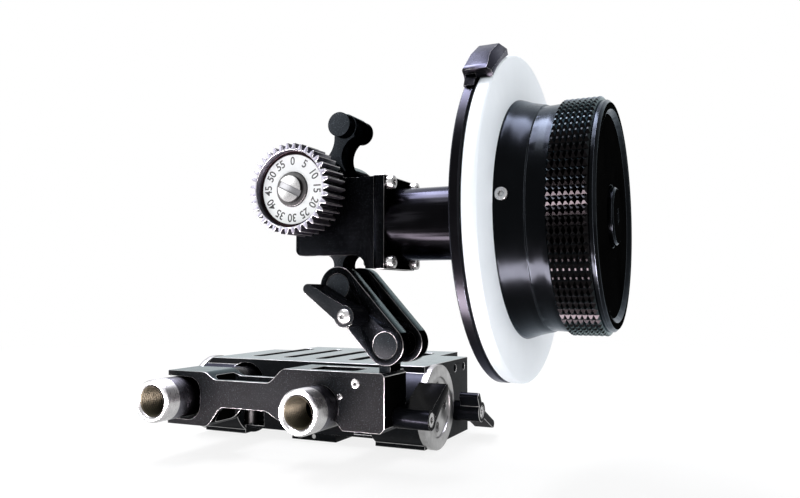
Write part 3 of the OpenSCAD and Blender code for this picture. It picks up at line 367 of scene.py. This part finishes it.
# The rods: bare near the mouth, then a grey that soon turns black
BARE_LENGTH = 6.2 * MM
BARE_EDGE = 0.4 * MM
ROD_FADE = 8 * MM
ROD_GREY = (0.1, 0.1, 0.115, 1)
ROD_SHADE = (0.0025, 0.0025, 0.0035, 1)
bare_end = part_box("rod_right")[0].y + BARE_LENGTH
rod_silver = machined("rod_silver", body=(0.4, 0.56), tint=NEUTRAL, rough=(0.22, 0.34),
                      streaks=ROUND_ROD, strength=0.25, reach=2.0 * MM,
                      fade=((bare_end, BARE_EDGE, ROD_GREY),
                            (bare_end + BARE_EDGE, ROD_FADE, ROD_SHADE)))
thread_metal = machined("thread_metal", body=(0.02, 0.04), tint=OILY, rough=(0.4, 0.5))

# The gear's screw: a pale head where it faces front, painted light, with a grey slot floor,
# painted shade
SLOT_START = 0.3 * MM
SLOT_EDGE = 0.2 * MM
SLOT_SHADE = (0.22, 0.22, 0.23, 1)
slot_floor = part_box("gear_screw")[0].y + SLOT_START
screw_face = machined("screw_face", body=(0.3, 0.5), tint=NEUTRAL, rough=(0.2, 0.34),
                      fade=((slot_floor, SLOT_EDGE, SLOT_SHADE),))

# Other metal, from dark to bright
# Painted shade on the gear screw's sides and edges
screw_shade = machined("screw_shade", body=(0.01, 0.02), tint=NEUTRAL, rough=(0.3, 0.4),
                     reach=0.3 * MM)
dark_silver = machined("dark_silver", body=(0.05, 0.1), tint=NEUTRAL, rough=(0.3, 0.45))
dim_edge = machined("dim_edge", body=(0.08, 0.2), tint=NEUTRAL, rough=(0.25, 0.4),
                    reach=0.3 * MM)
rosette_silver = machined("rosette_silver", body=(0.24, 0.4), tint=NEUTRAL, rough=(0.25, 0.4))
bare_edge = machined("bare_edge", body=(0.28, 0.48), tint=NEUTRAL, rough=(0.25, 0.4),
                     streaks=COARSE, reach=0.3 * MM)
bright_silver = machined("bright_silver", body=(0.3, 0.5), tint=NEUTRAL, rough=(0.2, 0.34))
bronze = machined("bronze", body=(0.3, 0.42), tint=BRASSY, rough=(0.3, 0.45))

# Plastic, film and ink
white_plastic = plastic("white_plastic", body=(0.85, 0.89), tint=COOL, rough=0.5, grain=0.1)
label_film = plastic("label_film", body=(0.82, 0.88), tint=NEUTRAL, rough=0.45, grain=0.08)
ink = plastic("ink", body=(0.02, 0.03), tint=NEUTRAL, rough=0.5, grain=0.08)

# The material of each of the record's slots, and of nodes that differ from their slot's
SLOT_MATERIAL = {
    "anodised_bridge": black_bridge, "anodised_black": black_plate,
    "anodised_knob": black_knob, "rod_steel": rod_silver, "bright_steel": bright_silver,
    "dark_steel": dark_silver, "gear_aluminium": gear_silver, "bronze": bronze,
    "white_plastic": white_plastic, "label_film": label_film,
}
OWN_MATERIAL = {
    "base_plate": black_base, "sole_plate": black_base, "rosettes": rosette_silver,
    "rosette_screws": dark_silver, "base_lever_left": black_lever,
    "base_lever_right": black_lever, "bridge_lever": black_lever, "link_lever": black_lever,
    "swivel_post": black_lug, "lower_lug": black_lug, "upper_lug": black_lug,
    "tube": black_tube, "index_ring": black_ring, "index_pointer": black_ring,
    # The gear's flanks and its screw's sides are painted shade; their fronts get lit copies
    "front_cover": black_knob, "centre_screw": black_knob, "drive_gear": gear_flank_shade,
    "gear_screw": screw_shade,
}

# The material of the cut edges, where it isn't bare metal: a painted highlight on the knob's
# and the ring's rims and on the gear, painted shade on the gear's screw, dim edges on the link
# plates
EDGE_MATERIAL = {
    "front_cover": painted_rim_highlight, "centre_screw": painted_rim_highlight, "knob_hub": painted_rim_highlight,
    "index_ring": painted_rim_highlight, "link_front_plate": dim_edge, "link_back_plate": dim_edge,
    "drive_gear": gear_edge_highlight, "gear_screw": screw_shade,
}

# Faces that look up get a lighter copy: painted reflection of the sky at glancing angles
UP_PAINTED_LIGHT = {
    "bridge_body": bridge_top, "base_plate": base_top, "sole_plate": base_top,
    "gearbox_housing": plate_top_lit, "flange_cover": plate_top_lit, "swivel_post": plate_top_lit,
    "link_front_plate": plate_top_lit, "link_back_plate": plate_top_lit, "lower_lug": plate_top_lit,
    "upper_lug": plate_top_lit,
}
# Faces that look to the front get a lighter copy: painted light
FRONT_PAINTED_LIGHT = {
    "drive_gear": gear_silver, "gear_screw": screw_face, "upper_lug": slate_front_lit,
    "lower_lug": slate_front_lit, "swivel_post": slate_front_lit, "link_lever": lever_front_lit,
}
# Faces that look along the knob's axis get a black copy with no gloss: painted shade
OUTWARD_PAINTED_SHADE = {
    "front_cover": black_painted_shade, "centre_screw": black_painted_shade, "bridge_body": black_painted_shade,
}
UP = Vector((0, 0, 1))
FRONT = Vector((0, -1, 0))
OUTWARD = Vector((1, 0, 0))
FACINGS = ((UP_PAINTED_LIGHT, UP), (FRONT_PAINTED_LIGHT, FRONT), (OUTWARD_PAINTED_SHADE, OUTWARD))
FACING_LIMIT = 0.75
# The long sides of the link plates lean about 45 degrees, and get the painted sky reflection
# too
LINK_LIMIT = 0.6
# Faces in between: the drums beside the base, which get a glossier copy for a painted
# highlight, and the flanks of the rosettes' teeth, which get painted shade
DRUM_LIMITS = (0.3, 0.985)
FLANK_LIMITS = (0.5, 0.9)

# Bevel widths in millimetres, for edges with a material of their own and for plain ones
BARE_EDGED = {
    "bridge_body": 0.14, "bridge_lever": 0.2, "link_lever": 0.2, "link_front_plate": 0.18,
    "link_back_plate": 0.18, "base_lever_right": 0.15, "base_lever_left": 0.15,
    "base_plate": 0.15, "drive_gear": 0.1, "gear_screw": 0.3, "flange_cover": 0.2,
    "gearbox_housing": 0.25, "swivel_post": 0.2, "index_pointer": 0.3, "rod_left": 0.2,
    "rod_right": 0.2, "front_cover": 0.2, "centre_screw": 0.15, "knob_hub": 0.15,
    "index_ring": 0.15,
}
SOFT_EDGED = {
    "sole_plate": 0.3, "upper_lug": 0.3, "lower_lug": 0.3, "cover_screws": 0.2,
    "marking_disc": 0.2, "tube": 0.2, "rosettes": 0.08, "link_lever_screw": 0.1,
    "bridge_lever_screw": 0.15, "base_lever_screws_right": 0.15,
    "base_lever_screws_left": 0.15, "knob_set_screws": 0.15, "rosette_screws": 0.1,
    "bridge_pins": 0.1, "gear_washer": 0.1, "back_cap": 0.3, "link_sleeve": 0.1,
}
# Nodes whose close edges would stop a clamped bevel
OPEN_BEVEL = ("bridge_body", "base_plate", "base_lever_right", "base_lever_left")
# Nodes with wide flat faces that long triangles would shade unevenly
EVEN_SHADED = (*OPEN_BEVEL, "index_ring")

WELD_DISTANCE = 0.002 * MM
BEVEL_SEGMENTS = 2
BEVEL_ANGLE = math.radians(35)
NO_EDGE_SLOT = -1
WIDE_FACE_WEIGHT = 100
MOUTH_CHAMFER = 0.9 * MM
MOUTH_DEPTH = 0.05 * MM
MOUTH_RIM = 0.5 * MM


# Joins the vertices that the import leaves split along edges, so that a bevel can round them
def weld(piece):
    modifier = piece.modifiers.new("weld", "WELD")
    modifier.merge_threshold = WELD_DISTANCE


# Rounds the sharp edges, with a material of their own where edge_slot gives one
def soften(name, width, edge_slot=NO_EDGE_SLOT):
    piece = nodes[name]
    weld(piece)
    bevel = piece.modifiers.new("bevel", "BEVEL")
    bevel.width = width * MM
    bevel.segments = BEVEL_SEGMENTS
    bevel.limit_method = "ANGLE"
    bevel.angle_limit = BEVEL_ANGLE
    bevel.material = edge_slot
    bevel.use_clamp_overlap = name not in OPEN_BEVEL
    bevel.harden_normals = name not in EVEN_SHADED
    if name in EVEN_SHADED:
        even = piece.modifiers.new("even", "WEIGHTED_NORMAL")
        even.weight = WIDE_FACE_WEIGHT


# The chamfer around each rod's open end
def chamfer_mouth(name):
    rod = nodes[name]
    low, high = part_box(name)
    axis = (low + high) / 2
    radius = (high.x - low.x) / 2
    mouth = rod.vertex_groups.new(name="mouth")
    for vertex in rod.data.vertices:
        spot = rod.matrix_world @ vertex.co
        off_axis = math.hypot(spot.x - axis.x, spot.z - axis.z)
        if spot.y < low.y + MOUTH_DEPTH and off_axis > radius - MOUTH_RIM:
            mouth.add([vertex.index], 1.0, "REPLACE")
    weld(rod)
    chamfer = rod.modifiers.new("chamfer", "BEVEL")
    chamfer.width = MOUTH_CHAMFER
    chamfer.segments = 1
    chamfer.limit_method = "VGROUP"
    chamfer.vertex_group = "mouth"


# A further material for the faces that a test picks
def paint_faces(name, material, wanted):
    mesh = nodes[name].data
    mesh.materials.append(material)
    slot = len(mesh.materials) - 1
    for face in mesh.polygons:
        if wanted(face):
            face.material_index = slot


# Lit and shaded copies by which way a face looks: painted light and painted shade
def paint_facing(name):
    limit = LINK_LIMIT if name.startswith("link_") else FACING_LIMIT
    for chosen, way in FACINGS:
        if name in chosen:
            paint_faces(name, chosen[name], lambda face: face.normal.dot(way) > limit)


# The wall inside the front cover's rim, which looks at the knob's axis, gets painted shade
def paint_cover_wall():
    low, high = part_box("front_cover")
    middle = (low + high) / 2

    def looks_inward(face):
        inward = middle - face.center
        inward.x = 0
        return face.normal.dot(inward.normalized()) > FACING_LIMIT

    paint_faces("front_cover", black_painted_shade, looks_inward)


# A glossier copy on faces that lean up, for a painted highlight on the drums
def paint_drums():
    low, high = DRUM_LIMITS
    paint_faces("base_plate", black_drum_highlight, lambda face: low < face.normal.z < high)


# Painted shade on the flanks of the rosettes' teeth
def paint_tooth_flanks():
    low, high = FLANK_LIMITS
    paint_faces("rosettes", dark_silver, lambda face: low < abs(face.normal.x) < high)


def dress_nodes():
    slots = {part["node"]: part["material_slot"] for part in frame["record"]["subparts"]}
    for name, node in nodes.items():
        node.data.materials.clear()
        node.data.materials.append(OWN_MATERIAL.get(name, SLOT_MATERIAL[slots[name]]))
        node.data.shade_smooth()
        if name in ("rod_left", "rod_right"):
            chamfer_mouth(name)
        if name in BARE_EDGED:
            node.data.materials.append(EDGE_MATERIAL.get(name, bare_edge))
            soften(name, BARE_EDGED[name], len(node.data.materials) - 1)
        elif name in SOFT_EDGED:
            soften(name, SOFT_EDGED[name])
        paint_facing(name)
    paint_cover_wall()
    paint_drums()
    paint_tooth_flanks()


# Pieces made here
def new_piece(name, vertices, faces, material, body):
    mesh = bpy.data.meshes.new(name)
    mesh.from_pydata(vertices, [], faces)
    mesh.update()
    mesh.materials.append(material)
    piece = bpy.data.objects.new(name, mesh)
    bpy.context.scene.collection.objects.link(piece)
    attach(piece, body)
    return piece


KNURL_COLUMNS = 7
KNURL_ROWS = 84
KNURL_DEPTH = 0.75 * MM
GRIP_WALL = 3.5 * MM
# The flat top of a pyramid, as a share of its column and of its row
KNURL_TOP = 0.25


# The grip: rows and columns of blunt pyramids between crossed grooves
def make_knurl():
    low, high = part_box("knurled_grip")
    middle = (low + high) / 2
    outer = (high.z - low.z) / 2
    groove = outer - KNURL_DEPTH
    inner = outer - GRIP_WALL
    column = (high.x - low.x) / KNURL_COLUMNS
    row = 2 * math.pi / KNURL_ROWS
    vertices = []
    faces = []

    def point(x, angle, radius):
        vertices.append((x, middle.y + radius * math.sin(angle),
                         middle.z + radius * math.cos(angle)))
        return len(vertices) - 1

    corners = [[point(low.x + i * column, k * row, groove) for k in range(KNURL_ROWS)]
               for i in range(KNURL_COLUMNS + 1)]
    left_bore = [point(low.x, k * row, inner) for k in range(KNURL_ROWS)]
    right_bore = [point(high.x, k * row, inner) for k in range(KNURL_ROWS)]
    start = (1 - KNURL_TOP) / 2
    end = 1 - start
    top_corners = ((start, start), (end, start), (end, end), (start, end))
    for i in range(KNURL_COLUMNS):
        for k in range(KNURL_ROWS):
            after = (k + 1) % KNURL_ROWS
            base = [corners[i][k], corners[i + 1][k], corners[i + 1][after],
                    corners[i][after]]
            tops = [point(low.x + (i + across) * column, (k + up) * row, outer)
                    for across, up in top_corners]
            faces.append(tops[::-1])
            for here, beside in ((0, 1), (1, 2), (2, 3), (3, 0)):
                faces.append([base[beside], base[here], tops[here], tops[beside]])
    for k in range(KNURL_ROWS):
        after = (k + 1) % KNURL_ROWS
        faces.append([left_bore[k], left_bore[after], corners[0][after], corners[0][k]])
        faces.append([right_bore[after], right_bore[k], corners[-1][k], corners[-1][after]])
        faces.append([left_bore[after], left_bore[k], right_bore[k], right_bore[after]])
    grip = new_piece("grip_knurl", vertices, faces, black_stud, "handwheel")
    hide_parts("knurled_grip")


THREAD_PITCH = 1.0 * MM
THREAD_DEPTH = 0.5 * MM
THREAD_BORE = 5.4 * MM
THREAD_START = 0.6 * MM
THREAD_TURNS = 13
THREAD_STEPS = 48
# The ridge's section: height as a share of the depth, and place as a share of the pitch
THREAD_SECTION = ((0, -0.5), (1, -0.08), (1, 0.08), (0, 0.5))


# A ridge that winds into each rod's open end
def make_rod_thread(side):
    low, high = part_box("rod_" + side)
    axis = (low + high) / 2
    corners = len(THREAD_SECTION)
    steps = THREAD_TURNS * THREAD_STEPS
    vertices = []
    faces = []
    for i in range(steps + 1):
        angle = 2 * math.pi * i / THREAD_STEPS
        depth = low.y + THREAD_START + THREAD_PITCH * i / THREAD_STEPS
        for height, shift in THREAD_SECTION:
            radius = THREAD_BORE - height * THREAD_DEPTH
            vertices.append((axis.x + radius * math.cos(angle), depth + shift * THREAD_PITCH,
                             axis.z + radius * math.sin(angle)))
    for i in range(steps):
        here = corners * i
        beyond = corners * (i + 1)
        for j in range(corners):
            k = (j + 1) % corners
            faces.append([here + j, here + k, beyond + k, beyond + j])
    first = list(range(corners))
    faces.append(first)
    faces.append([corners * steps + j for j in reversed(first)])
    new_piece("rod_thread_" + side, vertices, faces, thread_metal, "base")


DIAL_NUMBERS = 12
DIAL_STEP = 5
INK_THICKNESS = 0.03 * MM
NUMBER_SIZE = 3.7 * MM
NUMBER_RADIUS = 9.1 * MM
NUMBER_BOLD = 0.05 * MM
NUMBER_WIDTH = 0.92


# The gear's label: a plain scale of numbers, read from the front
def make_dial():
    low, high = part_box("gear_label")
    centre = (low + high) / 2
    face = low.y - INK_THICKNESS / 2
    upright = Matrix.Rotation(math.radians(90), 4, "X")
    outward = Matrix.Translation((0, 0, NUMBER_RADIUS))
    narrow = Matrix.Diagonal((NUMBER_WIDTH, 1, 1, 1))
    for i in range(DIAL_NUMBERS):
        curve = bpy.data.curves.new("dial_number", "FONT")
        curve.body = str(i * DIAL_STEP)
        curve.size = NUMBER_SIZE
        curve.align_x = "CENTER"
        curve.align_y = "CENTER"
        curve.extrude = INK_THICKNESS / 2
        curve.offset = NUMBER_BOLD
        curve.materials.append(ink)
        text = bpy.data.objects.new("dial_number_%02d" % i, curve)
        bpy.context.scene.collection.objects.link(text)
        turned = Matrix.Rotation(math.radians(360 * i / DIAL_NUMBERS), 4, "Y")
        text.matrix_world = (Matrix.Translation((centre.x, face, centre.z)) @ turned @ outward
                             @ upright @ narrow)
        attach(text, "drive")


# Studio
WHITE = (1, 1, 1, 1)
ROOM_COLOR = (0.94, 0.98, 1.0, 1)
ROOM_LIGHT = 0.72
FLOOR_SIZE = 8
PAPER_SHADES = (0.88, 0.9)
PAPER_ROUGHNESS = 0.8
SHADOW_SHARE = 0.16
SHADOW_REACH = 0.3
SHADOW_FADE = 0.3


# 1 for the camera, for gloss and for what shows through glass, 0 for other light
def seen_directly(tree):
    light_path = add(tree, "ShaderNodeLightPath")
    seen = light_path.outputs["Is Camera Ray"]
    for kind in ("Is Glossy Ray", "Is Transmission Ray"):
        either = add(tree, "ShaderNodeMath", operation="MAXIMUM")
        tree.links.new(seen, either.inputs[0])
        tree.links.new(light_path.outputs[kind], either.inputs[1])
        seen = either.outputs[0]
    return seen


def mix_shaders(tree, share, first, second):
    mix = add(tree, "ShaderNodeMixShader")
    tree.links.new(share, mix.inputs["Fac"])
    tree.links.new(first.outputs[0], mix.inputs[1])
    tree.links.new(second.outputs[0], mix.inputs[2])
    return mix.outputs[0]


# White paper: it glows where it is seen, and keeps a soft shadow near the object
def make_floor():
    bpy.ops.mesh.primitive_plane_add(size=FLOOR_SIZE)
    floor = bpy.context.object
    floor.name = "floor"
    material, tree, shader = new_material("floor")
    where = place(tree)
    dark, light = PAPER_SHADES
    paper = ramp(tree, noise(tree, where, PAPER), grey(dark), grey(light))
    tree.links.new(paper, shader.inputs["Base Color"])
    shader.inputs["Roughness"].default_value = PAPER_ROUGHNESS
    far = vector_math(tree, "LENGTH", where).outputs["Value"]
    glow_share = span(tree, far, 1 - SHADOW_SHARE, 1.0, SHADOW_REACH,
                      SHADOW_REACH + SHADOW_FADE)
    share = add(tree, "ShaderNodeMath", operation="MULTIPLY")
    tree.links.new(seen_directly(tree), share.inputs[0])
    tree.links.new(glow_share, share.inputs[1])
    glow = add(tree, "ShaderNodeEmission", Strength=1.0, Color=WHITE)
    surface = mix_shaders(tree, share.outputs[0], shader, glow)
    tree.links.new(surface, tree.nodes["Material Output"].inputs["Surface"])
    floor.data.materials.append(material)


def make_world():
    world = bpy.data.worlds.new("studio")
    world.use_nodes = True
    bpy.context.scene.world = world
    tree = world.node_tree
    tree.nodes.clear()
    room = add(tree, "ShaderNodeBackground", Strength=ROOM_LIGHT, Color=ROOM_COLOR)
    white = add(tree, "ShaderNodeBackground", Strength=1.0, Color=WHITE)
    surface = mix_shaders(tree, seen_directly(tree), room, white)
    output = add(tree, "ShaderNodeOutputWorld")
    tree.links.new(surface, output.inputs["Surface"])


# A lamp of a given radiance. gloss_only lamps show in reflections alone, so that they don't
# wash out pale surfaces.
def soft_box(name, location, target, size, radiance, color=(1, 1, 1), gloss_only=False):
    width, height = size
    data = bpy.data.lights.new(name, "AREA")
    data.shape = "RECTANGLE"
    data.size = width
    data.size_y = height
    data.energy = radiance * math.pi * width * height
    data.color = color
    light = bpy.data.objects.new(name, data)
    bpy.context.scene.collection.objects.link(light)
    light.location = location
    aim = Vector(target) - Vector(location)
    light.rotation_euler = aim.to_track_quat("-Z", "Y").to_euler()
    light.visible_camera = False
    light.visible_diffuse = not gloss_only


OBJECT_MIDDLE = (0.04, -0.04, 0.07)
KNOB_MIDDLE = (0.08, -0.064, 0.09)
PALE_BLUE = (0.88, 0.85, 1.0)
PALE_PINK = (1.0, 0.88, 0.92)


def make_lamps():
    soft_box("top_box", location=(-0.29, -0.06, 1.0), target=OBJECT_MIDDLE,
             size=(0.8, 0.25), radiance=12)
    soft_box("left_box", location=(-0.8, -0.8, 0.35), target=OBJECT_MIDDLE,
             size=(0.5, 0.6), radiance=4)
    soft_box("right_box", location=(1.1, -0.3, 0.4), target=OBJECT_MIDDLE,
             size=(0.5, 0.8), radiance=2)
    # The highlight on the tube and the neck
    soft_box("top_card", location=(-0.15, 0.0, 1.02), target=KNOB_MIDDLE,
             size=(0.54, 0.8), radiance=30, color=PALE_BLUE, gloss_only=True)
    # The pink dots on the knurl, from a strip on the floor that faces up
    soft_box("floor_card", location=(0.04, -0.142, 0.001), target=(0.04, -0.142, 1),
             size=(0.26, 0.03), radiance=110, color=PALE_PINK, gloss_only=True)


make_camera()
make_floor()
make_world()
make_lamps()
dress_nodes()
make_knurl()
make_dial()
for side in ("left", "right"):
    make_rod_thread(side)
